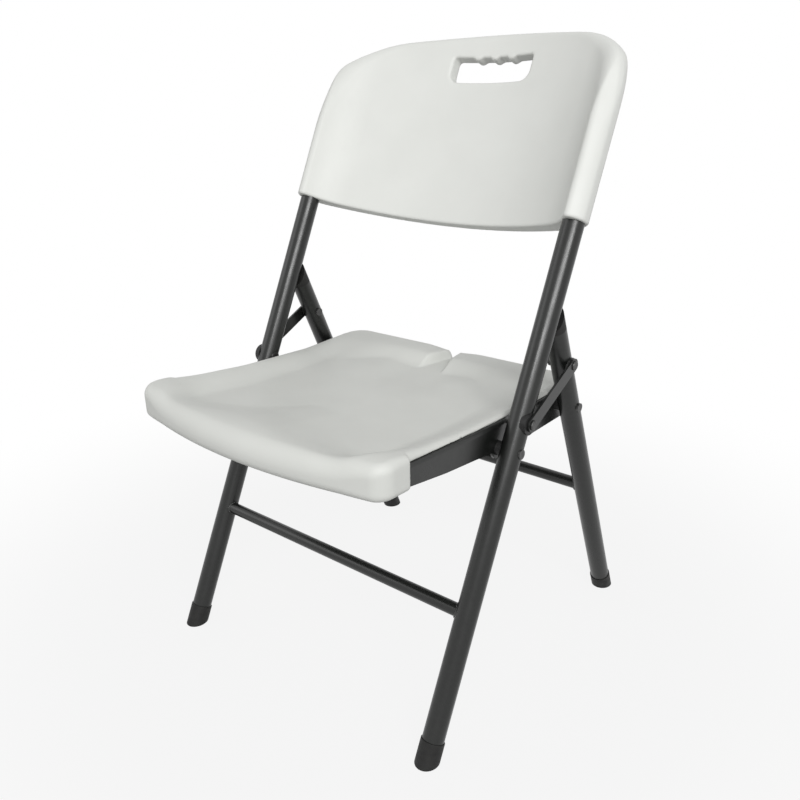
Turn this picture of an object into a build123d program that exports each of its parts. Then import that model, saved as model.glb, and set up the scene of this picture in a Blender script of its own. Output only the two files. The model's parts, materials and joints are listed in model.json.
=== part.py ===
"""Folding chair: two leaning tube frames, a moulded back, a moulded seat and two folding links."""

import os
from math import atan2, cos, degrees, hypot, radians, sin, tan

from build123d import *

# Frame: millimetres, +Z up, +X to the sitter's left, the sitter faces -Y, floor at Z = 0
SIDES = {"left": 1, "right": -1}

# How far a cutting shape runs past what it cuts
CUT_PAST = 5.0
OUTLINE_MARGIN = 1.0

# Tubes
TUBE_SPACING = 430.0
TUBE_OD = 27.0
TUBE_WALL = 1.2
FRONT_LEAN = 25.9
REAR_LEAN = 23.5
FRONT_FOOT_Y = -198.7
FOOT_SPREAD = 455.4
FRONT_TUBE_TOP = 812.0
REAR_LEG_TOP_Z = 463.0
CROSSBAR_OD = 16.5
FRONT_CROSSBAR_Z = 160.0
REAR_CROSSBAR_Z = 210.0

# Foot caps and leg end plugs
FOOT_OD = 29.4
FOOT_SLEEVE = 26.0
FOOT_SOLE = 8.0
FOOT_ROUND = 0.8
PLUG_LENGTH = 25.0
PLUG_HEAD = 60.0
PLUG_GAP = 0.8

# Pivot heights on the tube axes
SEAT_PIVOT_Z = 337.0
REAR_PIVOT_Z = 350.5
LINK_PIVOT_Z = 369.5
LINK_END_Z = 415.8

# Rivets, spacers and links, as distances along X from the centre plane
RIVET_DIA = 8.0
RUNNING_CLEARANCE = 0.05
SIDE_PLAY = 0.3
HEAD_DIA = 12.0
HEAD_RISE = 2.0
HEAD_ROUND_SHARE = 0.6
LOW_HEAD_RISE = 1.2
SPACER_DIA = 18.0
WASHER_DIA = 26.0
WEB_THICKNESS = 3.0
WEB_OUTER_X = 197.0
LINK_THICKNESS = 3.0
LINK_INNER_X = 230.1
LINK_WIDTH = 17.0
SADDLE_DEPTH = 6.0

# Backrest, measured along the tubes (up), across them (X) and behind them
BACK_BOTTOM = 650.0
BACK_TOP = 921.0
BACK_HALF_WIDTH = 232.5
BACK_SHOULDER = 899.0
BACK_SHOULDER_X = 150.0
BACK_CORNER_LOW = 787.0
BACK_LOW_CORNER = 4.0
BACK_FRONT_MIDDLE = 59.5
BACK_FLANK = (166.0, 22.5)
BACK_CREST = (209.0, -19.0)
BACK_REAR_MIDDLE = 79.0
BACK_REAR_EDGE = (200.0, 34.0)
SLEEVE_FRONT = (219.0, -22.0)
SLEEVE_SIDE = (231.8, -6.0)
SLEEVE_REAR = 22.0
BACK_EDGE_ROUND = 3.0
SLOT_CENTRE = 869.0
SLOT_WIDTH = 128.0
SLOT_HEIGHT = 36.0
SLOT_ROUND = 9.0
FINGER_RIDGES = 3
FINGER_PITCH = 27.0
FINGER_RIDGE_DIA = 9.0
BACK_SCREW_AT = 690.0

# Seat, as Y from the front feet and Z from the floor
SEAT_FRONT_Y = -75.0
SEAT_CORNER_Y = -48.0
SEAT_REAR_Y = 358.0
EAR_REAR_Y = -4.0
EAR_HALF_WIDTH = 200.5
SEAT_BODY_HALF_WIDTH = 186.0
SEAT_FRONT_CORNER = 16.0
SEAT_REAR_CORNER = 30.0
NOSE_TRIM = 1.5
CHIN = (-58.0, 350.5)
NOSE = (SEAT_FRONT_Y - NOSE_TRIM, 367.0)
NOSE_TOP = (-64.0, 388.4)
CREST = (-26.0, 394.0)
RIM_TOP = [(0.0, 390.0), (30.0, 385.0), (110.0, 376.5), (230.0, 370.5), (325.0, 373.5)]
REAR_ROLL = (349.5, 371.0)
REAR_LIP = (SEAT_REAR_Y, 364.0)
REAR_UNDER = (346.0, 347.0)
SEAT_UNDER = (0.0, 351.0)
RAIL_TOP = [(-2.0, 380.0), (54.0, 376.0), (120.0, 371.0), (230.0, 365.5), (318.0, 366.5)]
RAIL_UNDER = [(318.0, 327.5), (230.0, 328.0), (170.0, 332.0), (115.0, 339.0), (60.0, 345.0), (-2.0, 354.5)]
RAIL_BEND = 5.5
RAIL_TOP_FACING = 0.9
RAIL_TAB_RADIUS = 13.0
DISH_DEPTH = 15.0
DISH_RADIUS = 900.0
DISH_CENTRE = (150.0, 377.0)
NOTCH_WIDTH = 34.0
NOTCH_DEPTH = 16.0
NOTCH_FLOOR_Z = 357.0

# Steel braces below the seat and the screws through them
BRACE_AT = {"front": 40.0, "rear": 250.0}
BRACE_WIDTH = 30.0
BRACE_THICKNESS = 2.5
SCREW_DIA = 4.5
SCREW_HEAD_DIA = 10.0
SCREW_HEAD_RISE = 2.5
SCREW_GRIP = 12.0
SCREW_SEAT_GAP = 0.06
SEAT_SCREW_X = 120.0

# Worked out from the driving dimensions
HALF_SPACING = TUBE_SPACING / 2
REAR_FOOT_Y = FRONT_FOOT_Y + FOOT_SPREAD
TUBE_R = TUBE_OD / 2
TUBE_OUTER_X = HALF_SPACING + TUBE_R
TUBE_INNER_X = HALF_SPACING - TUBE_R
WEB_INNER_X = WEB_OUTER_X - WEB_THICKNESS
LINK_OUTER_X = LINK_INNER_X + LINK_THICKNESS
FRONT_UP = (0, sin(radians(FRONT_LEAN)), cos(radians(FRONT_LEAN)))
FRONT_BEHIND = (0, cos(radians(FRONT_LEAN)), -sin(radians(FRONT_LEAN)))
REAR_UP = (0, -sin(radians(REAR_LEAN)), cos(radians(REAR_LEAN)))
REAR_LEG_TOP = REAR_LEG_TOP_Z / cos(radians(REAR_LEAN))
OUTLINE_X = BACK_HALF_WIDTH + OUTLINE_MARGIN
RUNNING_HOLE = RIVET_DIA + 2 * RUNNING_CLEARANCE
SCREW_TIP_Z = SEAT_UNDER[1] + SCREW_GRIP - BRACE_THICKNESS

os.makedirs("parts", exist_ok=True)


def front_at(x, z):
    """Point of a front tube's axis at a height above the floor."""
    return (x, FRONT_FOOT_Y + z * tan(radians(FRONT_LEAN)), z)


def rear_at(x, z):
    """Point of a rear leg's axis at a height above the floor."""
    return (x, REAR_FOOT_Y - z * tan(radians(REAR_LEAN)), z)


def front_section(x, up):
    """Plane across a front tube, its X along X and its Y behind the tube."""
    foot = front_at(x, 0)
    origin = tuple(foot[i] + FRONT_UP[i] * up for i in range(3))
    return Plane(origin=origin, x_dir=(1, 0, 0), z_dir=FRONT_UP)


def rear_section(x, up):
    """Plane across a rear leg, its X along X."""
    foot = rear_at(x, 0)
    origin = tuple(foot[i] + REAR_UP[i] * up for i in range(3))
    return Plane(origin=origin, x_dir=(1, 0, 0), z_dir=REAR_UP)


def side_plane(x, point):
    """Plane that faces +X through a pivot, its X along Y and its Y along Z."""
    return Plane(origin=(x, point[1], point[2]), x_dir=(0, 1, 0), z_dir=(1, 0, 0))


def screw_plane(side):
    """Plane across a backrest screw, on the front tube's axis and facing behind the tube."""
    return Plane(origin=front_section(side * HALF_SPACING, BACK_SCREW_AT).origin, z_dir=FRONT_BEHIND)


def seat_plane(x):
    """Side view plane of the seat, its X counted from the front feet and its Y from the floor."""
    return Plane(origin=(x, FRONT_FOOT_Y, 0), x_dir=(0, 1, 0), z_dir=(1, 0, 0))


def seat_under(y):
    """Height of the panel's flat underside at a distance behind the front feet."""
    fall = (SEAT_UNDER[1] - REAR_UNDER[1]) / (REAR_UNDER[0] - SEAT_UNDER[0])
    return SEAT_UNDER[1] - fall * (y - SEAT_UNDER[0])


def front_outline():
    """Plane of the front tubes seen from behind, its Y along the tubes."""
    toward_sitter = tuple(-c for c in FRONT_BEHIND)
    return Plane(origin=(0, FRONT_FOOT_Y, 0), x_dir=(1, 0, 0), z_dir=toward_sitter)


def placed(point, side):
    """A point of a sketch, given for the left, on either side of the centre plane."""
    return (side * point[0], point[1])


def disc_between(side, point, near_x, far_x, diameter, mode=Mode.ADD):
    """Add or cut a round bar along X between two distances from the centre plane."""
    with BuildSketch(side_plane(side * near_x, point)) as disc:
        Circle(diameter / 2)
    extrude(disc.sketch, amount=side * (far_x - near_x), mode=mode)


def cut_through(side, point, near_x, far_x, diameter):
    """Cut a hole along X right through what lies between two distances from the centre plane."""
    disc_between(side, point, near_x - CUT_PAST, far_x + CUT_PAST, diameter, Mode.SUBTRACT)


def cut_tubes(section, sides):
    """Cut the outside of the tubes away, so that what is left seats on them."""
    for side in sides:
        with BuildSketch(section(side * HALF_SPACING, -FOOT_OD)) as tube_outside:
            Circle(TUBE_R)
        extrude(tube_outside.sketch, amount=BACK_TOP, mode=Mode.SUBTRACT)


def save(builder, name):
    """Label a finished piece and write it."""
    builder.part.label = name
    export_step(builder.part, f"parts/{name}.step")


def dome(side, point, base_x, rise, diameter):
    """Add a rivet head: a disc with a rounded rim, standing out from base_x along X."""
    disc_between(side, point, base_x, base_x + rise, diameter)
    outer = faces().filter_by(Axis.X).sort_by(Axis.X)[-1 if side * rise > 0 else 0]
    fillet(outer.outer_wire().edges(), abs(rise) * HEAD_ROUND_SHARE)


# Front tubes: front leg and back upright in one straight length
for name, side in SIDES.items():
    x = side * HALF_SPACING
    with BuildPart() as front_tube:
        with BuildSketch(front_section(x, FOOT_SOLE)):
            Circle(TUBE_R)
            Circle(TUBE_R - TUBE_WALL, mode=Mode.SUBTRACT)
        extrude(amount=FRONT_TUBE_TOP - FOOT_SOLE)
        for z in (SEAT_PIVOT_Z, LINK_PIVOT_Z):
            cut_through(side, front_at(x, z), TUBE_INNER_X, TUBE_OUTER_X, RIVET_DIA)
        with BuildSketch(screw_plane(side)):
            Circle(SCREW_DIA / 2)
        extrude(amount=TUBE_OD, mode=Mode.SUBTRACT)
    save(front_tube, f"front_tube_{name}")

# Rear legs
for name, side in SIDES.items():
    x = side * HALF_SPACING
    with BuildPart() as rear_leg:
        with BuildSketch(rear_section(x, FOOT_SOLE)):
            Circle(TUBE_R)
            Circle(TUBE_R - TUBE_WALL, mode=Mode.SUBTRACT)
        extrude(amount=REAR_LEG_TOP - FOOT_SOLE)
        for z in (REAR_PIVOT_Z, LINK_END_Z):
            cut_through(side, rear_at(x, z), TUBE_INNER_X, TUBE_OUTER_X, RIVET_DIA)
    save(rear_leg, f"rear_leg_{name}")

# Crossbars: round bars whose ends are coped to the tubes they are welded to
for name, section, height, axis_at in (
    ("front_crossbar", front_section, FRONT_CROSSBAR_Z, front_at),
    ("rear_crossbar", rear_section, REAR_CROSSBAR_Z, rear_at),
):
    with BuildPart() as crossbar:
        with BuildSketch(side_plane(0, axis_at(0, height))):
            Circle(CROSSBAR_OD / 2)
        extrude(amount=HALF_SPACING, both=True)
        cut_tubes(section, SIDES.values())
    save(crossbar, name)

# Foot caps: sleeves over the tube ends, with soles cut level with the floor
for frame_name, section in (("front", front_section), ("rear", rear_section)):
    for name, side in SIDES.items():
        x = side * HALF_SPACING
        with BuildPart() as foot:
            with BuildSketch(section(x, -FOOT_OD)):
                Circle(FOOT_OD / 2)
            extrude(amount=FOOT_OD + FOOT_SLEEVE)
            fillet(foot.edges().filter_by(GeomType.CIRCLE).sort_by(Axis.Z)[-1], FOOT_ROUND)
            with BuildSketch(section(x, FOOT_SOLE)):
                Circle(TUBE_R)
            extrude(amount=FOOT_SLEEVE, mode=Mode.SUBTRACT)
            split(bisect_by=Plane.XY, keep=Keep.TOP)
        save(foot, f"{frame_name}_foot_{name}")

# End plugs of the rear legs, cut to lie along the front tubes that they lean on
for name, side in SIDES.items():
    x = side * HALF_SPACING
    with BuildPart() as cap:
        with BuildSketch(rear_section(x, REAR_LEG_TOP)):
            Circle(TUBE_R)
        extrude(amount=PLUG_HEAD)
        with BuildSketch(rear_section(x, REAR_LEG_TOP - PLUG_LENGTH)):
            Circle(TUBE_R - TUBE_WALL)
        extrude(amount=PLUG_LENGTH)
        tube_back = Plane(origin=front_section(x, 0).origin, z_dir=FRONT_BEHIND).offset(TUBE_R + PLUG_GAP)
        split(bisect_by=tube_back, keep=Keep.TOP)
    save(cap, f"rear_leg_cap_{name}")

# Backrest: a panel bent around the sitter, with a sleeve over each tube and a hand slot
with BuildPart() as backrest:
    with BuildSketch(front_section(0, BACK_BOTTOM)):
        with BuildLine():
            front_face = ThreePointArc(placed(BACK_FLANK, -1), (0, BACK_FRONT_MIDDLE), BACK_FLANK)
            rear_face = ThreePointArc(
                BACK_REAR_EDGE, (0, BACK_REAR_MIDDLE), placed(BACK_REAR_EDGE, -1)
            )
            for side, end, way, rear_way in (
                (1, front_face @ 1, front_face % 1, rear_face % 0),
                (-1, front_face @ 0, (front_face % 0) * -1, (rear_face % 1) * -1),
            ):
                for corner in (BACK_CREST, SLEEVE_FRONT, SLEEVE_SIDE):
                    bend = TangentArc(end, placed(corner, side), tangent=way)
                    end = bend @ 1
                    way = bend % 1
                Spline(end, placed(BACK_REAR_EDGE, side), tangents=[way, rear_way])
        make_face()
    extrude(amount=BACK_TOP - BACK_BOTTOM)
    with BuildSketch(front_outline()) as back_outline:
        with BuildLine():
            crown = ThreePointArc(
                (-BACK_SHOULDER_X, BACK_SHOULDER), (0, BACK_TOP), (BACK_SHOULDER_X, BACK_SHOULDER)
            )
            right_corner = TangentArc(crown @ 1, (OUTLINE_X, BACK_CORNER_LOW), tangent=crown % 1)
            Polyline(
                right_corner @ 1, (OUTLINE_X, BACK_BOTTOM), (-OUTLINE_X, BACK_BOTTOM),
                (-OUTLINE_X, BACK_CORNER_LOW),
            )
            TangentArc(crown @ 0, (-OUTLINE_X, BACK_CORNER_LOW), tangent=(crown % 0) * -1)
        make_face()
        fillet(back_outline.vertices().group_by(Axis.Y)[0], BACK_LOW_CORNER + OUTLINE_MARGIN)
    extrude(amount=HALF_SPACING, both=True, mode=Mode.INTERSECT)
    across = Vector(*FRONT_BEHIND)
    top_faces = [
        face for face in backrest.faces().filter_by(GeomType.CYLINDER)
        if abs(face.axis_of_rotation.direction.dot(across)) > 0.99 and face.radius > TUBE_R
    ]
    top_edges = [
        edge for face in top_faces for edge in face.edges()
        if abs(edge.tangent_at(0.5).dot(across)) < 0.9
    ]
    fillet(top_edges, BACK_EDGE_ROUND)
    with BuildSketch(front_outline()):
        with Locations((0, SLOT_CENTRE)):
            RectangleRounded(SLOT_WIDTH, SLOT_HEIGHT, SLOT_ROUND)
        for ridge in range(FINGER_RIDGES):
            offset_x = (ridge - (FINGER_RIDGES - 1) / 2) * FINGER_PITCH
            with Locations((offset_x, SLOT_CENTRE + SLOT_HEIGHT / 2)):
                Circle(FINGER_RIDGE_DIA / 2, mode=Mode.SUBTRACT)
    extrude(amount=-HALF_SPACING, mode=Mode.SUBTRACT)
    for side in SIDES.values():
        x = side * HALF_SPACING
        with BuildSketch(front_section(x, BACK_BOTTOM - CUT_PAST)):
            Circle(TUBE_R)
        extrude(amount=FRONT_TUBE_TOP - BACK_BOTTOM + CUT_PAST, mode=Mode.SUBTRACT)
        with BuildSketch(screw_plane(side)):
            Circle(SCREW_DIA / 2)
        extrude(amount=SLEEVE_REAR, mode=Mode.SUBTRACT)
        with BuildSketch(screw_plane(side).offset(SLEEVE_REAR)):
            Circle(SCREW_HEAD_DIA / 2 + SIDE_PLAY)
        extrude(amount=TUBE_OD, mode=Mode.SUBTRACT)
save(backrest, "backrest")

# Screws that hold the backrest's sleeves to the tubes, from behind
with BuildPart() as backrest_screws:
    for side in SIDES.values():
        with BuildSketch(screw_plane(side).offset(SLEEVE_REAR)):
            Circle(SCREW_HEAD_DIA / 2)
        extrude(amount=SCREW_HEAD_RISE)
        with BuildSketch(screw_plane(side).offset(SLEEVE_REAR - SCREW_GRIP)):
            Circle(SCREW_DIA / 2)
        extrude(amount=SCREW_GRIP)
save(backrest_screws, "backrest_screws")

# Seat panel: side view cut to the plan, then dished, notched and fitted over the rails
with BuildPart() as seat_panel:
    with BuildSketch(seat_plane(-EAR_HALF_WIDTH)):
        with BuildLine():
            nose = ThreePointArc(CHIN, NOSE, NOSE_TOP)
            rim = Spline(nose @ 1, CREST, *RIM_TOP, tangents=[nose % 1, (1, 0)])
            lip = ThreePointArc(rim @ 1, REAR_ROLL, REAR_LIP)
            Polyline(lip @ 1, REAR_UNDER, SEAT_UNDER, nose @ 0)
        make_face()
    extrude(amount=2 * EAR_HALF_WIDTH)
    with BuildSketch(Plane(origin=(0, FRONT_FOOT_Y, 0))) as plan:
        with BuildLine():
            plan_rear = SEAT_REAR_Y + OUTLINE_MARGIN
            front_edge = ThreePointArc(
                (-EAR_HALF_WIDTH, SEAT_CORNER_Y), (0, SEAT_FRONT_Y), (EAR_HALF_WIDTH, SEAT_CORNER_Y)
            )
            Polyline(
                front_edge @ 1, (EAR_HALF_WIDTH, EAR_REAR_Y), (WEB_OUTER_X, EAR_REAR_Y),
                (WEB_OUTER_X, plan_rear), (-WEB_OUTER_X, plan_rear), (-WEB_OUTER_X, EAR_REAR_Y),
                (-EAR_HALF_WIDTH, EAR_REAR_Y), front_edge @ 0,
            )
        make_face()
        fillet(plan.vertices().group_by(Axis.Y)[0], SEAT_FRONT_CORNER)
        fillet(plan.vertices().group_by(Axis.Y)[-1], SEAT_REAR_CORNER)
    extrude(amount=LINK_END_Z, mode=Mode.INTERSECT)
    with Locations((0, FRONT_FOOT_Y + DISH_CENTRE[0], DISH_CENTRE[1] - DISH_DEPTH + DISH_RADIUS)):
        Sphere(DISH_RADIUS, rotation=(90, 0, 0), mode=Mode.SUBTRACT)
    with BuildSketch(Plane(origin=(0, FRONT_FOOT_Y, NOTCH_FLOOR_Z))):
        with Locations((0, SEAT_REAR_Y)):
            RectangleRounded(NOTCH_WIDTH, 2 * NOTCH_DEPTH, NOTCH_DEPTH / 2)
    extrude(amount=NOTCH_WIDTH, mode=Mode.SUBTRACT)
    for side in SIDES.values():
        with BuildSketch(seat_plane(side * SEAT_BODY_HALF_WIDTH)):
            with BuildLine():
                rear_end = SEAT_REAR_Y + CUT_PAST
                Polyline(
                    (EAR_REAR_Y, RAIL_TOP[0][1]), *RAIL_TOP, (rear_end, RAIL_TOP[-1][1]), (rear_end, 0),
                    (EAR_REAR_Y, 0), close=True,
                )
            make_face()
        extrude(amount=side * (EAR_HALF_WIDTH - SEAT_BODY_HALF_WIDTH + CUT_PAST), mode=Mode.SUBTRACT)
    for brace_y in BRACE_AT.values():
        for screw_x in (-SEAT_SCREW_X, SEAT_SCREW_X):
            with BuildSketch(Plane(origin=(screw_x, FRONT_FOOT_Y + brace_y, 0))):
                Circle(SCREW_DIA / 2)
            extrude(amount=SCREW_TIP_Z, mode=Mode.SUBTRACT)
save(seat_panel, "seat_panel")

# Seat rails: steel on edge with a top flange rolled inward, and tabs around two pivots a side
for name, side in SIDES.items():
    pivots = (front_at(0, SEAT_PIVOT_Z), rear_at(0, REAR_PIVOT_Z))
    with BuildPart() as rail:
        with BuildSketch(seat_plane(side * WEB_INNER_X)):
            with BuildLine():
                Polyline(*RAIL_TOP, *RAIL_UNDER, close=True)
            make_face()
            with Locations(*[(pivot[1] - FRONT_FOOT_Y, pivot[2]) for pivot in pivots]):
                Circle(RAIL_TAB_RADIUS)
        extrude(amount=side * WEB_THICKNESS)
        with BuildSketch(seat_plane(side * SEAT_BODY_HALF_WIDTH)):
            with BuildLine():
                flange_under = [(y, z - WEB_THICKNESS) for y, z in reversed(RAIL_TOP)]
                Polyline(*RAIL_TOP, *flange_under, close=True)
            make_face()
        extrude(amount=side * (WEB_OUTER_X - SEAT_BODY_HALF_WIDTH))
        outer_edges = rail.edges().filter_by_position(
            Axis.X, *sorted((side * (WEB_OUTER_X - OUTLINE_MARGIN), side * (WEB_OUTER_X + OUTLINE_MARGIN)))
        )
        top_faces = [face for face in rail.faces() if face.normal_at().Z > RAIL_TOP_FACING]
        top_edges = [edge for edge in outer_edges if any(
            (edge @ 0.5 - (face_edge @ 0.5)).length < RUNNING_CLEARANCE
            for face in top_faces for face_edge in face.edges()
        )]
        fillet(top_edges, RAIL_BEND)
        for pivot in pivots:
            cut_through(side, pivot, WEB_INNER_X, WEB_OUTER_X, RUNNING_HOLE)
    save(rail, f"seat_rail_{name}")

# Braces: flat steel from rail to rail, against the underside of the panel
for name, brace_y in BRACE_AT.items():
    front_y = brace_y - BRACE_WIDTH / 2
    rear_y = brace_y + BRACE_WIDTH / 2
    with BuildPart() as brace:
        with BuildSketch(seat_plane(0)):
            with BuildLine():
                Polyline(
                    (front_y, seat_under(front_y)), (rear_y, seat_under(rear_y)),
                    (rear_y, seat_under(rear_y) - BRACE_THICKNESS),
                    (front_y, seat_under(front_y) - BRACE_THICKNESS), close=True,
                )
            make_face()
        extrude(amount=WEB_INNER_X, both=True)
        for screw_x in (-SEAT_SCREW_X, SEAT_SCREW_X):
            with BuildSketch(Plane(origin=(screw_x, FRONT_FOOT_Y + brace_y, 0))):
                Circle(SCREW_DIA / 2)
            extrude(amount=LINK_END_Z, mode=Mode.SUBTRACT)
    save(brace, f"seat_brace_{name}")

# Screws through the braces into the seat panel
with BuildPart() as seat_screws:
    for brace_y in BRACE_AT.values():
        head_z = seat_under(brace_y) - BRACE_THICKNESS - SCREW_SEAT_GAP
        for screw_x in (-SEAT_SCREW_X, SEAT_SCREW_X):
            head_plane = Plane(origin=(screw_x, FRONT_FOOT_Y + brace_y, head_z))
            with BuildSketch(head_plane):
                Circle(SCREW_HEAD_DIA / 2)
            extrude(amount=-SCREW_HEAD_RISE)
            with BuildSketch(head_plane):
                Circle(SCREW_DIA / 2)
            extrude(amount=SCREW_TIP_Z - head_z)
save(seat_screws, "seat_screws")

# Links: flat bars outside the tubes, from the front tubes to the rear legs
link_front = front_at(0, LINK_PIVOT_Z)
link_rear = rear_at(0, LINK_END_Z)
link_run = link_rear[1] - link_front[1]
link_rise = link_rear[2] - link_front[2]
link_angle = degrees(atan2(link_rise, link_run))
link_middle = ((link_front[1] + link_rear[1]) / 2 - FRONT_FOOT_Y, (link_front[2] + link_rear[2]) / 2)
for name, side in SIDES.items():
    with BuildPart() as link:
        with BuildSketch(seat_plane(side * LINK_INNER_X)):
            with Locations(link_middle):
                SlotCenterToCenter(hypot(link_run, link_rise), LINK_WIDTH, rotation=link_angle)
        extrude(amount=side * LINK_THICKNESS)
        cut_through(side, link_front, LINK_INNER_X, LINK_OUTER_X, RUNNING_HOLE)
        cut_through(side, link_rear, LINK_INNER_X, LINK_OUTER_X, RIVET_DIA)
    save(link, f"link_{name}")

# Rivets of the seat rails, through a tube and a rail, and the nylon spacers between the two
for label, section, pivot, head_rise in (
    ("seat_pivot", front_section, front_at(0, SEAT_PIVOT_Z), LOW_HEAD_RISE),
    ("rear_pivot", rear_section, rear_at(0, REAR_PIVOT_Z), HEAD_RISE),
):
    for name, side in SIDES.items():
        with BuildPart() as rivet:
            disc_between(side, pivot, TUBE_OUTER_X - SADDLE_DEPTH, TUBE_OUTER_X + head_rise, HEAD_DIA)
            cut_tubes(section, [side])
            disc_between(side, pivot, WEB_INNER_X - SIDE_PLAY, TUBE_OUTER_X, RIVET_DIA)
            dome(side, pivot, WEB_INNER_X - SIDE_PLAY, -HEAD_RISE, HEAD_DIA)
        save(rivet, f"{label}_{name}")
        with BuildPart() as spacer:
            disc_between(side, pivot, WEB_OUTER_X + SIDE_PLAY, TUBE_INNER_X + SADDLE_DEPTH, SPACER_DIA)
            cut_tubes(section, [side])
            cut_through(side, pivot, WEB_OUTER_X, TUBE_OUTER_X, RIVET_DIA)
        save(spacer, f"{label}_spacer_{name}")

# Rivets that the links turn on, through the front tubes, and the washers under the links
for name, side in SIDES.items():
    with BuildPart() as link_pivot:
        disc_between(side, link_front, TUBE_INNER_X - HEAD_RISE, TUBE_INNER_X + SADDLE_DEPTH, HEAD_DIA)
        cut_tubes(front_section, [side])
        disc_between(side, link_front, TUBE_INNER_X, LINK_OUTER_X + SIDE_PLAY, RIVET_DIA)
        dome(side, link_front, LINK_OUTER_X + SIDE_PLAY, HEAD_RISE, HEAD_DIA)
    save(link_pivot, f"link_pivot_{name}")
    with BuildPart() as washer:
        disc_between(side, link_front, TUBE_OUTER_X - SADDLE_DEPTH, LINK_INNER_X - SIDE_PLAY, WASHER_DIA)
        cut_tubes(front_section, [side])
        cut_through(side, link_front, TUBE_INNER_X, LINK_OUTER_X, RIVET_DIA)
    save(washer, f"link_washer_{name}")

# Rear ends of the links: a headed stud in each link, and a collared stud in each rear leg
for name, side in SIDES.items():
    with BuildPart() as link_end:
        disc_between(side, link_rear, LINK_INNER_X, LINK_OUTER_X, RIVET_DIA)
        dome(side, link_rear, LINK_OUTER_X, HEAD_RISE, HEAD_DIA)
    save(link_end, f"link_end_{name}")
    with BuildPart() as leg_stud:
        disc_between(side, link_rear, TUBE_INNER_X - HEAD_RISE, TUBE_INNER_X + SADDLE_DEPTH, HEAD_DIA)
        disc_between(side, link_rear, TUBE_OUTER_X - SADDLE_DEPTH, LINK_INNER_X - SIDE_PLAY, SPACER_DIA)
        cut_tubes(rear_section, [side])
        disc_between(side, link_rear, TUBE_INNER_X, TUBE_OUTER_X, RIVET_DIA)
    save(leg_stud, f"leg_stud_{name}")
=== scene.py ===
"""Looks of the folding chair: moulded seat and back, painted tubes, welds, light and camera."""

import json
from math import cos, hypot, radians, sin

import bpy
import numpy as np
from mathutils import Matrix, Vector


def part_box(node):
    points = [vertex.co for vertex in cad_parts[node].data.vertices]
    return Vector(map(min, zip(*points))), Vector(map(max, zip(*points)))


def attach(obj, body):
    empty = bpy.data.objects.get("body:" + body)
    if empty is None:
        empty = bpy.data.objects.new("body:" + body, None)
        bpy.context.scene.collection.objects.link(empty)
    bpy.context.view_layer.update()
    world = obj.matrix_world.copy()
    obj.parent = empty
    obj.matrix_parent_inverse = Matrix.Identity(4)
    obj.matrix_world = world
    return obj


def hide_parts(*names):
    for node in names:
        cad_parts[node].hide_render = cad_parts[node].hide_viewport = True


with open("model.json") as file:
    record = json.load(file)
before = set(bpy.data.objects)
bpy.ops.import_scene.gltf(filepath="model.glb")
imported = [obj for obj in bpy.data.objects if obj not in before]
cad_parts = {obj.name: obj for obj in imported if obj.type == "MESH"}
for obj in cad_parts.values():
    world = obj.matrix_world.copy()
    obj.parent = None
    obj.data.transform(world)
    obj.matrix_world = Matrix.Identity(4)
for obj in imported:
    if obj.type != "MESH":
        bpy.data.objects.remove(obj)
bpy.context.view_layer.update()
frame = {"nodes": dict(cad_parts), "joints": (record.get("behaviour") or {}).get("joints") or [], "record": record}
MM = 0.001


def node_box(name):
    """Lowest and highest corner of a frame node, in millimetres."""
    return [np.array(corner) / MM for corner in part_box(name)]


# The frame's own lines, in millimetres
joints = {joint["name"]: joint for joint in frame["joints"]}
seat_pivot = np.array(joints["seat_fold"]["pos_m"]) / MM
link_pivot = np.array(joints["link_left_swing"]["pos_m"]) / MM
rear_pivot = np.array(joints["rear_frame_fold"]["pos_m"]) / MM
tube_x = link_pivot[0]
tube_run = link_pivot[1:] - seat_pivot[1:]
tube_sin, tube_cos = tube_run / hypot(*tube_run)
foot_y = seat_pivot[1] - seat_pivot[2] * tube_sin / tube_cos
seat_low, seat_high = node_box("seat_panel")
back_low, back_high = node_box("backrest")
tube_low, tube_high = node_box("front_tube_left")
bar_low, bar_high = node_box("front_crossbar")
tube_radius = (tube_high[0] - tube_low[0]) / 2
bar_radius = (bar_high[2] - bar_low[2]) / 2

# Mesh of the moulded pieces: cell size, empty cells around a piece, and how its points are smoothed
STEP = 2.0
NET_MARGIN = 2
EASE_ROUNDS = 2
SETTLE_ROUNDS = 3
SETTLE_NUDGE = 0.02
SETTLE_LEAST_SLOPE = 0.2

# Backrest outline, as distance from the centre plane and along the tubes from the floor
BACK_BOTTOM = 650.0
BACK_TOP = 921.0
CROWN_SHOULDER = (150.0, 901.0)
CORNER_PASS = (225.0, 845.0)
CORNER_EASE = 22.0
HALF_WIDTH = 233.5
# Backrest section, as distance from the centre plane and behind the tubes
FRONT_MIDDLE = (0.0, 59.5)
FLANK = (166.0, 22.5)
CREST = (209.0, -19.0)
SLEEVE_FRONT = (219.0, -22.0)
SLEEVE_SIDE = (231.8, -6.0)
REAR_EDGE = (200.0, 34.0)
REAR_MIDDLE = (0.0, 79.0)
ARC_POINTS = 24
# Grid that holds the distances to this section, and how far inside its last point a place may lie
SECTION_STEP = 0.5
SECTION_MARGIN = 24.0
SECTION_INSET = 0.001
# Slanted front of the upper corners, as height along the tubes and distance behind them
SLANT = [(750, -48), (800, -30), (830, -19.5), (850, -9.5), (870, 9.5), (890, 31), (920, 73)]
# Distance from the centre plane that the slant's line is for, and its fall towards the back further out
SLANT_X = 200.0
SLANT_FALL = 0.41
# Depth off the slant per distance from it, and how its bends and its edge are eased
SLANT_STEEP = 1.4
SLANT_EASE = 12.0
SLANT_ROUND = 14.0
# Backrest edges, sharp along the sleeves and rounded above, with the heights between which that turns
EDGE_ROUND = 1.0
FRONT_ROUND = 8.0
REAR_ROUND = 6.0
ROUNDED_BETWEEN = (767.0, 847.0)
BOTTOM_ROUND = 3.0
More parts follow.
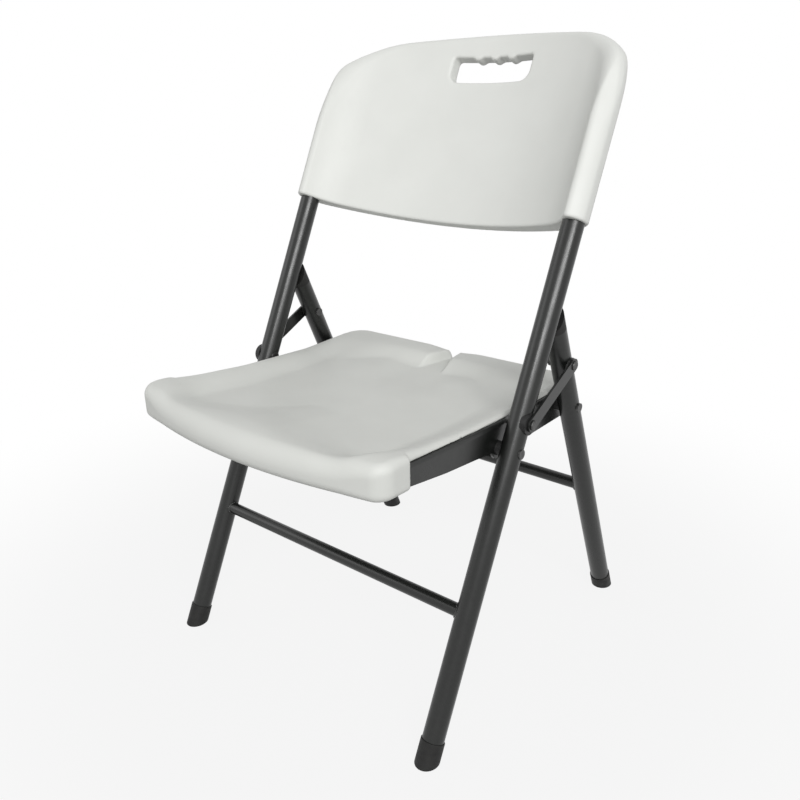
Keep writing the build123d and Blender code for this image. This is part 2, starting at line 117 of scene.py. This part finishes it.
# Hand slot, with ridges on its upper wall
SLOT_CENTRE = 869.0
SLOT_SIZE = (128.0, 36.0)
SLOT_UPPER_CORNER = 5.0
SLOT_LOWER_CORNER = 14.0
SLOT_LIP = 3.5
RIDGE_PITCH = 27.0
RIDGE_RADIUS = 6.5
RIDGE_RAISE = 3.0
RIDGE_EASE = 3.0

# Seat lines, as distance behind its front edge and height above its lowest point
RIM = [
    (0, 36), (11, 41.4), (30, 46), (50, 47), (75, 43), (105, 38), (185, 29.5), (305, 23.5), (400, 26.5)
]
FRONT_RIM = [(0, 36), (11, 41), (22, 42), (40, 41), (60, 38), (105, 32)]
BOWL = [(0, 33.5), (40, 30), (100, 23), (160, 17), (225, 14.5), (300, 14), (360, 14.5), (433, 15)]
UNDER = [(0, 3.5), (75, 4.0), (421, 0.0), (433, 0.0)]
RAIL_TOP = [(73, 33), (129, 29), (195, 24), (305, 18.5), (393, 19.5), (433, 19.5)]
# How the bends of the lines are eased
LINE_EASE = 16.0
LINE_EASE_ROUNDS = 2
# Distance from the sloping top per height over it
TOP_SLOPE_SHARE = 0.95
# Seat plan
FRONT_SWEEP_RADIUS = 758.0
EAR_LENGTH = 71.0
EAR_STEP = 3.0
RIM_HALF_WIDTH = 194.5
BODY_HALF_WIDTH = 186.0
FRONT_CORNER = 17.0
REAR_CORNER = 30.0
# Seat edges, the front ones in the middle and at the corners
NOSE_ROUND = (18.0, 11.0)
CHIN_ROUND = (13.0, 10.0)
RIM_ROUND = 7.0
REAR_EDGE_ROUND = 9.0
RAIL_STEP_ROUND = 2.2
# Stretches over which one edge turns into another
NOSE_END = (30.0, 75.0)
REAR_EDGE_AHEAD = (45.0, 20.0)
CORNER_SIDE = (140.0, 190.0)
# Where the bowl starts and how long its front slope is, by distance from the centre plane
BOWL_START = [(0, 8), (130, 8), (145, 14), (165, 36), (180, 50), (200, 65)]
BOWL_SLOPE = [(0, 165), (18, 165), (36, 135), (60, 105), (85, 85), (105, 75), (200, 60)]
BOWL_SIDE = (142.0, 191.0)
# Where the low front rim rises to the raised corners, outward and backward
EAR_SIDE = (120.0, 168.0)
FRONT_RIM_END = (90.0, 160.0)
# Rear lobes and the channel between them
CHANNEL_SIDE = (20.0, 75.0)
CHANNEL_BACK = (230.0, 350.0)
CHANNEL_DEPTH = 4.0
LOBE_START = 367.0
LOBE_ROUND = (0.0, 22.0)
LOBE_SWEEP = 72.0
LOBE_SLOPE = (6.0, 30.0)
LOBE_DIP = 3.0
LOBE_DIP_SIDE = (8.0, 50.0)
LOBE_SOFT_SIDE = (70.0, 150.0)
LOBE_SOFT_SLOPE = 55.0

# Weld beads, with their points around the bar and around the bead itself
BEAD_RADIUS = 1.8
BEAD_RIPPLES = 22
BEAD_RIPPLE_SHARE = 0.16
BEAD_POINTS = (96, 10)

# Darkest and lightest tint of the moulded pieces, and the part of a noise that is spread over a range; the seat's
# tints are a darker copy of the back's white, which is painted shade for its less lit top
BACK_TINTS = ((0.725, 0.735, 0.705), (0.75, 0.76, 0.73))
SEAT_SHADED_TINTS = ((0.65, 0.66, 0.63), (0.675, 0.685, 0.655))
NOISE_SPAN = (0.3, 0.7)

# Floor in metres, with the share of white that the camera is shown in the middle and further away
FLOOR_HALF = 6.0
FLOOR_TONE = 0.3
FLOOR_ROUGHNESS = 0.9
FLOOR_WHITE = (0.88, 1.0)
FLOOR_WHITE_AWAY = (0.35, 1.1)
# Strength of the sky as light, and the place that the lamps face
SKY_LIGHT = 0.42
LAMP_AIM = Vector((0, 0, 0.45))
# Camera, from the lines of the tubes and bars in the photograph
CAMERA_LENS = 35.459
CAMERA_SENSOR = 36
CAMERA_AT = (0.64415, -0.75821, 0.72787)
CAMERA_AZIMUTH = radians(39.46)
CAMERA_ELEVATION = radians(21.291)
CAMERA_ROLL = radians(-1.041)


def ease(low, high, value):
    """Smooth step from 0 at low to 1 at high."""
    share = np.clip((value - low) / (high - low), 0, 1)
    return share * share * (3 - 2 * share)


def round_max(a, b, radius):
    """Overlap of two shapes, with the edge that they share rounded."""
    over = np.hypot(np.maximum(a + radius, 0), np.maximum(b + radius, 0))
    return np.minimum(np.maximum(a, b), -radius) + over


def eased_line(points, width=LINE_EASE):
    """A line through points with its bends eased, as a function of distance."""
    at, height = np.array(points, float).T
    fine = np.arange(at[0] - 2 * width, at[-1] + 2 * width, 1.0)
    kernel = np.ones(int(width)) / int(width)
    level = np.pad(np.interp(fine, at, height), len(kernel), mode="edge")
    for _ in range(LINE_EASE_ROUNDS):
        level = np.convolve(level, kernel, mode="same")
    level = level[len(kernel):-len(kernel)]
    return lambda where: np.interp(where, fine, level)


def tangent_arc(start, way, end):
    """Points of the arc that leaves start along a direction for end, and its last direction."""
    start, way, end = (np.array(item, float) for item in (start, way, end))
    chord = end - start
    left = np.array([-way[1], way[0]])
    arm = -left * (chord @ chord) / (2 * chord @ left)
    turn = np.linspace(0, 2 * np.arctan2(chord @ left, chord @ way), ARC_POINTS)[:, None]
    points = start - arm + np.cos(turn) * arm + np.sin(turn) * np.array([-arm[1], arm[0]])
    return points, np.cos(turn[-1]) * way + np.sin(turn[-1]) * left


def eased_run(start, way, end, end_way):
    """Points of a smooth curve from one point and direction to another."""
    share = np.linspace(0, 1, ARC_POINTS)[:, None]
    reach = np.linalg.norm(end - start)
    rise = 3 * share**2 - 2 * share**3
    leave = share * (1 - share) ** 2 * reach
    arrive = share**2 * (share - 1) * reach
    return (1 - rise) * start + rise * end + leave * way + arrive * end_way


def arc_through(edge, middle):
    """Radius and centre of the arc from an edge point over the middle, on the middle's line."""
    sagitta = middle - edge[1]
    radius = (edge[0] ** 2 + sagitta**2) / (2 * sagitta)
    return radius, middle - radius


def surface_net(field, low, high):
    """Points and quads of the zero level of a field that is negative inside."""
    margin = NET_MARGIN * STEP
    axes = [np.arange(a - margin, b + margin + STEP, STEP) for a, b in zip(low, high)]
    value = field(*np.meshgrid(*axes, indexing="ij"))
    cells = np.array(value.shape) - 1
    total = np.zeros((*cells, 3))
    count = np.zeros(cells)
    crossings = []
    for axis in range(3):
        near = np.take(value, range(cells[axis]), axis)
        far = np.take(value, range(1, cells[axis] + 1), axis)
        crossed = (near < 0) != (far < 0)
        place = np.stack(np.indices(crossed.shape), -1).astype(float)
        place[..., axis] += np.where(crossed, near / np.where(crossed, near - far, 1), 0)
        across = [other for other in range(3) if other != axis]
        for first in range(2):
            for second in range(2):
                window = [slice(None)] * 3
                window[across[0]] = slice(first, first + cells[across[0]])
                window[across[1]] = slice(second, second + cells[across[1]])
                hit = crossed[tuple(window)]
                total += place[tuple(window)] * hit[..., None]
                count += hit
        crossings.append((axis, across, crossed, near < 0))
    used = count > 0
    number = np.full(count.shape, -1)
    number[used] = np.arange(used.sum())
    points = np.array([a[0] for a in axes]) + total[used] / count[used][:, None] * STEP
    quads = []
    for axis, across, crossed, starts_inside in crossings:
        at = np.argwhere(crossed)
        ring = []
        for first, second in ((1, 1), (0, 1), (0, 0), (1, 0)):
            cell = at.copy()
            cell[:, across[0]] -= first
            cell[:, across[1]] -= second
            ring.append(number[tuple(cell.T)])
        ring = np.stack(ring, 1)
        outward = starts_inside[crossed] != (axis == 1)
        ring[~outward] = ring[~outward][:, ::-1]
        quads.append(ring)
    quads = np.concatenate(quads)
    for _ in range(EASE_ROUNDS):
        points = settle(field, ease_points(points, quads))
    return points, quads


def ease_points(points, quads):
    """Points moved halfway to the middle of their neighbours."""
    near = np.zeros_like(points)
    count = np.zeros(len(points))
    for start, end in ((0, 1), (1, 2), (2, 3), (3, 0)):
        for a, b in ((start, end), (end, start)):
            np.add.at(near, quads[:, a], points[quads[:, b]])
            np.add.at(count, quads[:, a], 1)
    return points / 2 + near / count[:, None] / 2


def settle(field, points):
    """Points moved along the slope of a field until they lie on its zero level."""
    for _ in range(SETTLE_ROUNDS):
        slope = np.stack([
            (field(*(points + shift).T) - field(*(points - shift).T)) / (2 * SETTLE_NUDGE)
            for shift in np.eye(3) * SETTLE_NUDGE
        ], 1)
        steep = np.maximum((slope**2).sum(1), SETTLE_LEAST_SLOPE)
        move = (field(*points.T) / steep)[:, None] * slope
        points = points - np.clip(move, -STEP / 2, STEP / 2)
    return points


# Half section of the backrest: the hollow front, the sleeve around the tube and the back face
front_line = [np.array([FRONT_MIDDLE])]
section_way = np.array([1.0, 0.0])
for corner in (FLANK, CREST, SLEEVE_FRONT, SLEEVE_SIDE):
    arc, section_way = tangent_arc(front_line[-1][-1], section_way, corner)
    front_line.append(arc[1:])
front_line = np.concatenate(front_line)
rear_arc, rear_way = tangent_arc(REAR_MIDDLE, (1, 0), REAR_EDGE)
sleeve_run = eased_run(front_line[-1], section_way, rear_arc[-1], -rear_way)
rear_line = np.concatenate([sleeve_run, rear_arc[::-1][1:]])

# Distances to that section on a fine grid
section_low = np.array([0.0, SLEEVE_FRONT[1] - SECTION_MARGIN])
section_axes = [
    np.arange(0, SLEEVE_SIDE[0] + SECTION_MARGIN, SECTION_STEP),
    np.arange(section_low[1], REAR_MIDDLE[1] + SECTION_MARGIN, SECTION_STEP),
]
section_x, section_behind = np.meshgrid(*section_axes, indexing="ij")


def line_gap(line):
    """Distance of the grid's points to a line, and where its crossings further out are odd in number."""
    nearest = np.full(section_x.shape, np.inf)
    odd = np.zeros(section_x.shape, bool)
    for start, end in zip(line[:-1], line[1:]):
        run = end - start
        off_x, off_behind = section_x - start[0], section_behind - start[1]
        share = np.clip((off_x * run[0] + off_behind * run[1]) / (run @ run), 0, 1)
        nearest = np.minimum(nearest, np.hypot(off_x - share * run[0], off_behind - share * run[1]))
        if run[1]:
            crossing = start[0] + (section_behind - start[1]) / run[1] * run[0]
            level_with = (start[1] > section_behind) != (end[1] > section_behind)
            odd ^= level_with & (section_x < crossing)
    return nearest, odd


front_gap, front_odd = line_gap(front_line)
rear_gap, rear_odd = line_gap(rear_line)
inside = front_odd != rear_odd
section_field = np.where(inside, -1, 1) * np.minimum(front_gap, rear_gap)
front_field = np.where(inside | (rear_gap < front_gap), -front_gap, front_gap)


def on_grid(values, x, behind):
    """Values of the section grid between its points."""
    place = [
        np.clip((item - low) / SECTION_STEP, 0, count - 1 - SECTION_INSET)
        for item, low, count in zip((x, behind), section_low, values.shape)
    ]
    i, j = (item.astype(int) for item in place)
    u, v = place[0] - i, place[1] - j
    near = values[i, j] * (1 - v) + values[i, j + 1] * v
    far = values[i + 1, j] * (1 - v) + values[i + 1, j + 1] * v
    return near * (1 - u) + far * u


# Crown and corners of the backrest's outline, and the slant of its upper corners
slant_line = eased_line(SLANT, SLANT_EASE)
crown_radius, crown_centre = arc_through(CROWN_SHOULDER, BACK_TOP)
shoulder_way = np.array([CROWN_SHOULDER[0], CROWN_SHOULDER[1] - crown_centre]) / crown_radius
corner_run = np.array(CORNER_PASS) - CROWN_SHOULDER
corner_radius = -corner_run @ corner_run / (2 * corner_run @ shoulder_way)
corner_centre = np.array(CROWN_SHOULDER) - corner_radius * shoulder_way


def back_field(x, y, z):
    """Backrest: bent panel and two sleeves, cut to the outline, with a hand slot."""
    x = np.abs(x)
    along = (y - foot_y) * tube_sin + z * tube_cos
    behind = (y - foot_y) * tube_cos - z * tube_sin
    crown = np.hypot(x, along - crown_centre) - crown_radius
    corner_x, corner_up = x - corner_centre[0], along - corner_centre[1]
    in_corner = corner_x * shoulder_way[1] > corner_up * shoulder_way[0]
    corner = np.hypot(corner_x, np.maximum(corner_up, 0)) - corner_radius
    outline = round_max(np.where(in_corner, corner, crown), x - HALF_WIDTH, CORNER_EASE)
    rounded = ease(*ROUNDED_BETWEEN, along)
    front_round = EDGE_ROUND + (FRONT_ROUND - EDGE_ROUND) * rounded
    rear_round = EDGE_ROUND + (REAR_ROUND - EDGE_ROUND) * rounded
    slant = (slant_line(along) + SLANT_FALL * (x - SLANT_X) - behind) / SLANT_STEEP
    front = round_max(on_grid(front_field, x, behind), slant, SLANT_ROUND)
    body = np.maximum(
        round_max(front, outline, front_round),
        round_max(on_grid(section_field, x, behind), outline, rear_round),
    )
    body = round_max(body, BACK_BOTTOM - along, BOTTOM_ROUND)
    up = along - SLOT_CENTRE
    slot_corner = np.where(up > 0, SLOT_UPPER_CORNER, SLOT_LOWER_CORNER)
    slot_x = x - SLOT_SIZE[0] / 2 + slot_corner
    slot_up = np.abs(up) - SLOT_SIZE[1] / 2 + slot_corner
    slot = np.hypot(np.maximum(slot_x, 0), np.maximum(slot_up, 0)) - slot_corner
    slot = slot + np.minimum(np.maximum(slot_x, slot_up), 0)
    for ridge_x in (0, RIDGE_PITCH):
        ridge = np.hypot(x - ridge_x, up - SLOT_SIZE[1] / 2 - RIDGE_RAISE) - RIDGE_RADIUS
        slot = round_max(slot, -ridge, RIDGE_EASE)
    return round_max(body, -slot, SLOT_LIP)


# Lines and sizes of the seat
rim_height = eased_line(RIM)
front_rim_height = eased_line(FRONT_RIM)
bowl_height = eased_line(BOWL)
under_height = eased_line(UNDER)
rail_height = eased_line(RAIL_TOP)
bowl_start = eased_line(BOWL_START)
bowl_slope = eased_line(BOWL_SLOPE)
ear_half_width = seat_high[0]
seat_length = seat_high[1] - seat_low[1]


def seat_field(x, y, z):
    """Seat: rolled front, raised corners, bowl, rear lobes with a channel, and steps for the rails."""
    side = np.abs(x)
    back = y - seat_low[1]
    up = z - seat_low[2]
    start = bowl_start(side)
    front_slope = ease(start, start + bowl_slope(side), back)
    side_slope = 1 - ease(*BOWL_SIDE, side)
    lobe_way = 1 - ease(*LOBE_ROUND, side)
    lobe_soft = LOBE_SOFT_SLOPE * ease(*LOBE_SOFT_SIDE, side)
    lobe_start = LOBE_START + LOBE_SWEEP * lobe_way
    rear_slope = 1 - ease(lobe_start - LOBE_SLOPE[0] - lobe_soft, lobe_start + LOBE_SLOPE[1], back)
    rim = rim_height(back)
    front_rim = (1 - ease(*EAR_SIDE, side)) * (1 - ease(*FRONT_RIM_END, back))
    rim = rim + np.minimum(front_rim_height(back) - rim, 0) * front_rim
    rim = rim - LOBE_DIP * (1 - ease(*LOBE_DIP_SIDE, side)) * ease(LOBE_START, seat_length, back)
    channel = CHANNEL_DEPTH * (1 - ease(*CHANNEL_SIDE, side)) * ease(*CHANNEL_BACK, back)
    bowl = bowl_height(back) - channel
    top = rim + np.minimum(bowl - rim, 0) * front_slope * side_slope * rear_slope
    above = (up - top) * TOP_SLOPE_SHARE
    front = np.hypot(x, back - FRONT_SWEEP_RADIUS) - FRONT_SWEEP_RADIUS
    front = np.where(back < seat_length / 2, front, -seat_length)
    eared = 1 - ease(EAR_LENGTH - EAR_STEP, EAR_LENGTH + EAR_STEP, back)
    half_width = RIM_HALF_WIDTH + (ear_half_width - RIM_HALF_WIDTH) * eared
    plan = round_max(front, side - half_width, FRONT_CORNER)
    plan = round_max(plan, back - seat_length, REAR_CORNER)
    frontness = 1 - ease(*NOSE_END, back)
    rearness = ease(seat_length - REAR_EDGE_AHEAD[0], seat_length - REAR_EDGE_AHEAD[1], back)
    cornered = ease(*CORNER_SIDE, side)
    nose = NOSE_ROUND[0] + (NOSE_ROUND[1] - NOSE_ROUND[0]) * cornered
    chin = CHIN_ROUND[0] + (CHIN_ROUND[1] - CHIN_ROUND[0]) * cornered
    top_round = RIM_ROUND + (nose - RIM_ROUND) * frontness + (REAR_EDGE_ROUND - RIM_ROUND) * rearness
    body = round_max(above, plan, top_round)
    body = round_max(body, under_height(back) - up, RIM_ROUND + (chin - RIM_ROUND) * frontness)
    step = np.maximum(np.maximum(BODY_HALF_WIDTH - side, up - rail_height(back)), EAR_LENGTH - back)
    return round_max(body, -step, RAIL_STEP_ROUND)


def new_material(name):
    """A node material with its tree and shader."""
    material = bpy.data.materials.new(name)
    material.use_nodes = True
    return material, material.node_tree, material.node_tree.nodes["Principled BSDF"]


def noise(tree, scale, detail):
    """Noise over the piece's own coordinates, with features about one over scale metres wide."""
    place = tree.nodes.new("ShaderNodeTexCoord")
    texture = tree.nodes.new("ShaderNodeTexNoise")
    texture.inputs["Scale"].default_value = scale
    texture.inputs["Detail"].default_value = detail
    tree.links.new(place.outputs["Object"], texture.inputs["Vector"])
    return texture.outputs["Fac"]


def coloured(tree, shader, dark, light, scale, detail):
    """Base colour that drifts between two."""
    ramp = tree.nodes.new("ShaderNodeValToRGB")
    for element, position, colour in zip(ramp.color_ramp.elements, NOISE_SPAN, (dark, light)):
        element.position = position
        element.color = (*colour, 1)
    tree.links.new(noise(tree, scale, detail), ramp.inputs["Fac"])
    tree.links.new(ramp.outputs["Color"], shader.inputs["Base Color"])


def roughened(tree, shader, low, high, scale, detail):
    """Roughness that drifts between two values."""
    spread = tree.nodes.new("ShaderNodeMapRange")
    spread.inputs["From Min"].default_value = NOISE_SPAN[0]
    spread.inputs["From Max"].default_value = NOISE_SPAN[1]
    spread.inputs["To Min"].default_value = low
    spread.inputs["To Max"].default_value = high
    tree.links.new(noise(tree, scale, detail), spread.inputs["Value"])
    tree.links.new(spread.outputs["Result"], shader.inputs["Roughness"])


def bumped(tree, shader, scale, detail, strength, depth, over=None):
    """Bump of a depth in millimetres, laid over an earlier one where there is one."""
    bump = tree.nodes.new("ShaderNodeBump")
    bump.inputs["Strength"].default_value = strength
    bump.inputs["Distance"].default_value = depth * MM
    tree.links.new(noise(tree, scale, detail), bump.inputs["Height"])
    if over:
        tree.links.new(over, bump.inputs["Normal"])
    tree.links.new(bump.outputs["Normal"], shader.inputs["Normal"])
    return bump.outputs["Normal"]


def moulded_white(name, dark, light):
    """Off-white blow-moulded polyethylene with a fine pebbled skin."""
    material, tree, shader = new_material(name)
    coloured(tree, shader, dark, light, scale=14, detail=3)
    roughened(tree, shader, low=0.52, high=0.58, scale=60, detail=4)
    pebbles = bumped(tree, shader, scale=900, detail=2, strength=0.2, depth=0.1)
    bumped(tree, shader, scale=35, detail=2, strength=0.015, depth=0.2, over=pebbles)
    return material


def powder_coat(name):
    """Dark charcoal paint baked on steel, with a slight orange peel."""
    material, tree, shader = new_material(name)
    coloured(tree, shader, (0.005, 0.0055, 0.005), (0.009, 0.01, 0.009), scale=220, detail=4)
    roughened(tree, shader, low=0.27, high=0.33, scale=40, detail=4)
    shader.inputs["Specular IOR Level"].default_value = 0.5
    grain = bumped(tree, shader, scale=700, detail=2, strength=0.03, depth=0.08)
    bumped(tree, shader, scale=160, detail=2, strength=0.03, depth=0.12, over=grain)
    return material


def black_plastic(name):
    """Black moulded plastic, dull and slightly scuffed."""
    material, tree, shader = new_material(name)
    coloured(tree, shader, (0.008, 0.008, 0.008), (0.016, 0.016, 0.015), scale=90, detail=4)
    roughened(tree, shader, low=0.48, high=0.68, scale=120, detail=4)
    shader.inputs["Specular IOR Level"].default_value = 0.3
    grain = bumped(tree, shader, scale=1200, detail=2, strength=0.2, depth=0.1)
    bumped(tree, shader, scale=300, detail=3, strength=0.1, depth=0.1, over=grain)
    return material


def rivet_steel(name):
    """Dark zinc-plated steel, a little dull and brushed by use."""
    material, tree, shader = new_material(name)
    coloured(tree, shader, (0.06, 0.06, 0.06), (0.11, 0.11, 0.108), scale=350, detail=4)
    roughened(tree, shader, low=0.32, high=0.52, scale=500, detail=3)
    shader.inputs["Metallic"].default_value = 0.9
    bumped(tree, shader, scale=900, detail=3, strength=0.15, depth=0.1)
    return material


def black_nylon(name):
    """Black nylon of the spacers and washers."""
    material, tree, shader = new_material(name)
    coloured(tree, shader, (0.012, 0.012, 0.012), (0.022, 0.022, 0.022), scale=200, detail=3)
    roughened(tree, shader, low=0.40, high=0.55, scale=150, detail=3)
    shader.inputs["Specular IOR Level"].default_value = 0.3
    bumped(tree, shader, scale=1000, detail=2, strength=0.15, depth=0.08)
    return material


MATERIALS = {
    "back_plastic": moulded_white("moulded_white_back", *BACK_TINTS),
    # the seat's darker tints are painted shade on the same white plastic as the back
    "seat_plastic": moulded_white("moulded_white_seat_painted_shade", *SEAT_SHADED_TINTS),
    "frame_paint": powder_coat("charcoal_powder_coat"),
    "black_plastic": black_plastic("black_moulded_plastic"),
    "rivet_steel": rivet_steel("plated_steel"),
    "nylon": black_nylon("black_nylon"),
}


def make_piece(name, points, faces, slot, body, *stands_for):
    """A smooth mesh piece in millimetres that rides on a body."""
    mesh = bpy.data.meshes.new(name)
    mesh.from_pydata((points * MM).tolist(), [], faces.tolist())
    mesh.polygons.foreach_set("use_smooth", np.ones(len(faces), bool))
    mesh.materials.append(MATERIALS[slot])
    piece = bpy.data.objects.new(name, mesh)
    bpy.context.scene.collection.objects.link(piece)
    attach(piece, body)
    if stands_for:
        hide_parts(*stands_for)


# Finishes of the frame's nodes
for part in frame["record"]["subparts"]:
    node = frame["nodes"][part["node"]]
    node.data.materials.clear()
    node.data.materials.append(MATERIALS[part["material_slot"]])

# Moulded pieces
back_mesh = surface_net(back_field, back_low, back_high)
seat_mesh = surface_net(seat_field, seat_low, seat_high)
make_piece("moulded_back", *back_mesh, "back_plastic", "front_frame", "backrest")
make_piece("moulded_seat", *seat_mesh, "seat_plastic", "seat", "seat_panel")


def weld_bead(name, bar_node, slope, side, body):
    """A rippled bead around the end of a crossbar, on the saddle where it meets its tube."""
    middle = sum(node_box(bar_node)) / 2
    turn, section = (np.linspace(0, 2 * np.pi, count, endpoint=False) for count in BEAD_POINTS)
    points = []
    for angle in turn:
        off_y, off_z = np.cos(angle), np.sin(angle)
        size = BEAD_RADIUS * (1 + BEAD_RIPPLE_SHARE * np.cos(BEAD_RIPPLES * angle))
        for around in section:
            radius = bar_radius + size * np.cos(around)
            across = radius * (off_y * slope[1] - off_z * slope[0])
            reach = tube_x - np.sqrt(tube_radius**2 - across**2) + size * np.sin(around)
            points.append((side * reach, middle[1] + radius * off_y, middle[2] + radius * off_z))
    number = np.arange(len(points)).reshape(len(turn), len(section))
    ahead = np.roll(number, -1, axis=0)
    corners = [number, np.roll(number, -1, axis=1), np.roll(ahead, -1, axis=1), ahead]
    faces = np.stack(corners, -1).reshape(-1, 4)
    make_piece(name, np.array(points), faces if side > 0 else faces[:, ::-1], "frame_paint", body)


rear_run = rear_pivot[1:] - sum(node_box("rear_crossbar"))[1:] / 2
rear_slope_way = rear_run / hypot(*rear_run)
for side_name, side in (("left", 1), ("right", -1)):
    weld_bead(f"front_weld_{side_name}", "front_crossbar", (tube_sin, tube_cos), side, "front_frame")
    weld_bead(f"rear_weld_{side_name}", "rear_crossbar", rear_slope_way, side, "rear_frame")


def seen_white(tree, shown):
    """Share of a white surface that the camera, reflections and clear pieces are shown."""
    ray = tree.nodes.new("ShaderNodeLightPath")
    seen = ray.outputs["Is Camera Ray"]
    for other in ("Is Glossy Ray", "Is Transmission Ray"):
        either = tree.nodes.new("ShaderNodeMath")
        either.operation = "MAXIMUM"
        tree.links.new(seen, either.inputs[0])
        tree.links.new(ray.outputs[other], either.inputs[1])
        seen = either.outputs[0]
    share = tree.nodes.new("ShaderNodeMath")
    share.operation = "MULTIPLY"
    tree.links.new(seen, share.inputs[0])
    if shown:
        tree.links.new(shown, share.inputs[1])
    else:
        share.inputs[1].default_value = 1
    return share.outputs[0]


# Floor: pale, nearly white to the camera, with the object's shadow near the middle
floor_mesh = bpy.data.meshes.new("floor")
floor_corners = [(x * FLOOR_HALF, y * FLOOR_HALF, 0) for x, y in ((-1, -1), (1, -1), (1, 1), (-1, 1))]
floor_mesh.from_pydata(floor_corners, [], [(0, 1, 2, 3)])
floor = bpy.data.objects.new("floor", floor_mesh)
bpy.context.scene.collection.objects.link(floor)
floor_material, tree, floor_shader = new_material("pale_floor")
floor_shader.inputs["Base Color"].default_value = (FLOOR_TONE, FLOOR_TONE, FLOOR_TONE, 1)
floor_shader.inputs["Roughness"].default_value = FLOOR_ROUGHNESS
place = tree.nodes.new("ShaderNodeTexCoord")
away = tree.nodes.new("ShaderNodeVectorMath")
away.operation = "LENGTH"
tree.links.new(place.outputs["Object"], away.inputs[0])
whiter = tree.nodes.new("ShaderNodeMapRange")
whiter.interpolation_type = "SMOOTHSTEP"
whiter.inputs["From Min"].default_value = FLOOR_WHITE_AWAY[0]
whiter.inputs["From Max"].default_value = FLOOR_WHITE_AWAY[1]
whiter.inputs["To Min"].default_value = FLOOR_WHITE[0]
whiter.inputs["To Max"].default_value = FLOOR_WHITE[1]
tree.links.new(away.outputs["Value"], whiter.inputs["Value"])
glow = tree.nodes.new("ShaderNodeEmission")
mixed = tree.nodes.new("ShaderNodeMixShader")
tree.links.new(seen_white(tree, whiter.outputs["Result"]), mixed.inputs["Fac"])
tree.links.new(floor_shader.outputs["BSDF"], mixed.inputs[1])
tree.links.new(glow.outputs["Emission"], mixed.inputs[2])
tree.links.new(mixed.outputs["Shader"], tree.nodes["Material Output"].inputs["Surface"])
floor_mesh.materials.append(floor_material)

# World: white to the camera and in reflections, softer as light
world = bpy.data.worlds.new("studio")
bpy.context.scene.world = world
world.use_nodes = True
tree = world.node_tree
light_sky = tree.nodes["Background"]
light_sky.inputs["Color"].default_value = (1, 1, 1, 1)
light_sky.inputs["Strength"].default_value = SKY_LIGHT
white_sky = tree.nodes.new("ShaderNodeBackground")
white_sky.inputs["Color"].default_value = (1, 1, 1, 1)
mixed = tree.nodes.new("ShaderNodeMixShader")
tree.links.new(seen_white(tree, None), mixed.inputs["Fac"])
tree.links.new(light_sky.outputs["Background"], mixed.inputs[1])
tree.links.new(white_sky.outputs["Background"], mixed.inputs[2])
tree.links.new(mixed.outputs["Shader"], tree.nodes["World Output"].inputs["Surface"])


def soft_box(name, azimuth, elevation, away, size, power):
    """A rectangular lamp that faces the object, placed by its angles in degrees and its distance."""
    azimuth, elevation = radians(azimuth), radians(elevation)
    way = Vector((sin(azimuth) * cos(elevation), -cos(azimuth) * cos(elevation), sin(elevation)))
    lamp = bpy.data.lights.new(name, "AREA")
    lamp.shape = "RECTANGLE"
    lamp.size, lamp.size_y = size
    lamp.energy = power
    box = bpy.data.objects.new(name, lamp)
    box.location = LAMP_AIM + away * way
    box.rotation_euler = (-way).to_track_quat("-Z", "Y").to_euler()
    box.visible_camera = False
    bpy.context.scene.collection.objects.link(box)


# Soft boxes: a wide low one to the right of the camera and a weak one to the left
soft_box("key_box", azimuth=50, elevation=29, away=3.2, size=(2.4, 0.4), power=72)
soft_box("fill_box", azimuth=-50, elevation=25, away=3.0, size=(1.6, 1.6), power=10)

# Camera, which looks against its back axis
back_axis = Vector((
    sin(CAMERA_AZIMUTH) * cos(CAMERA_ELEVATION),
    -cos(CAMERA_AZIMUTH) * cos(CAMERA_ELEVATION),
    sin(CAMERA_ELEVATION),
))
right_axis = Vector((cos(CAMERA_AZIMUTH), sin(CAMERA_AZIMUTH), 0))
up_axis = back_axis.cross(right_axis)
lens = bpy.data.cameras.new("camera")
lens.sensor_width = CAMERA_SENSOR
lens.lens = CAMERA_LENS
camera = bpy.data.objects.new("camera", lens)
turned = Matrix((
    cos(CAMERA_ROLL) * right_axis + sin(CAMERA_ROLL) * up_axis,
    cos(CAMERA_ROLL) * up_axis - sin(CAMERA_ROLL) * right_axis,
    back_axis,
)).transposed()
camera.matrix_world = Matrix.Translation(CAMERA_AT) @ turned.to_4x4()
bpy.context.scene.collection.objects.link(camera)
bpy.context.scene.camera = camera
bpy.context.scene.view_settings.view_transform = "Standard"
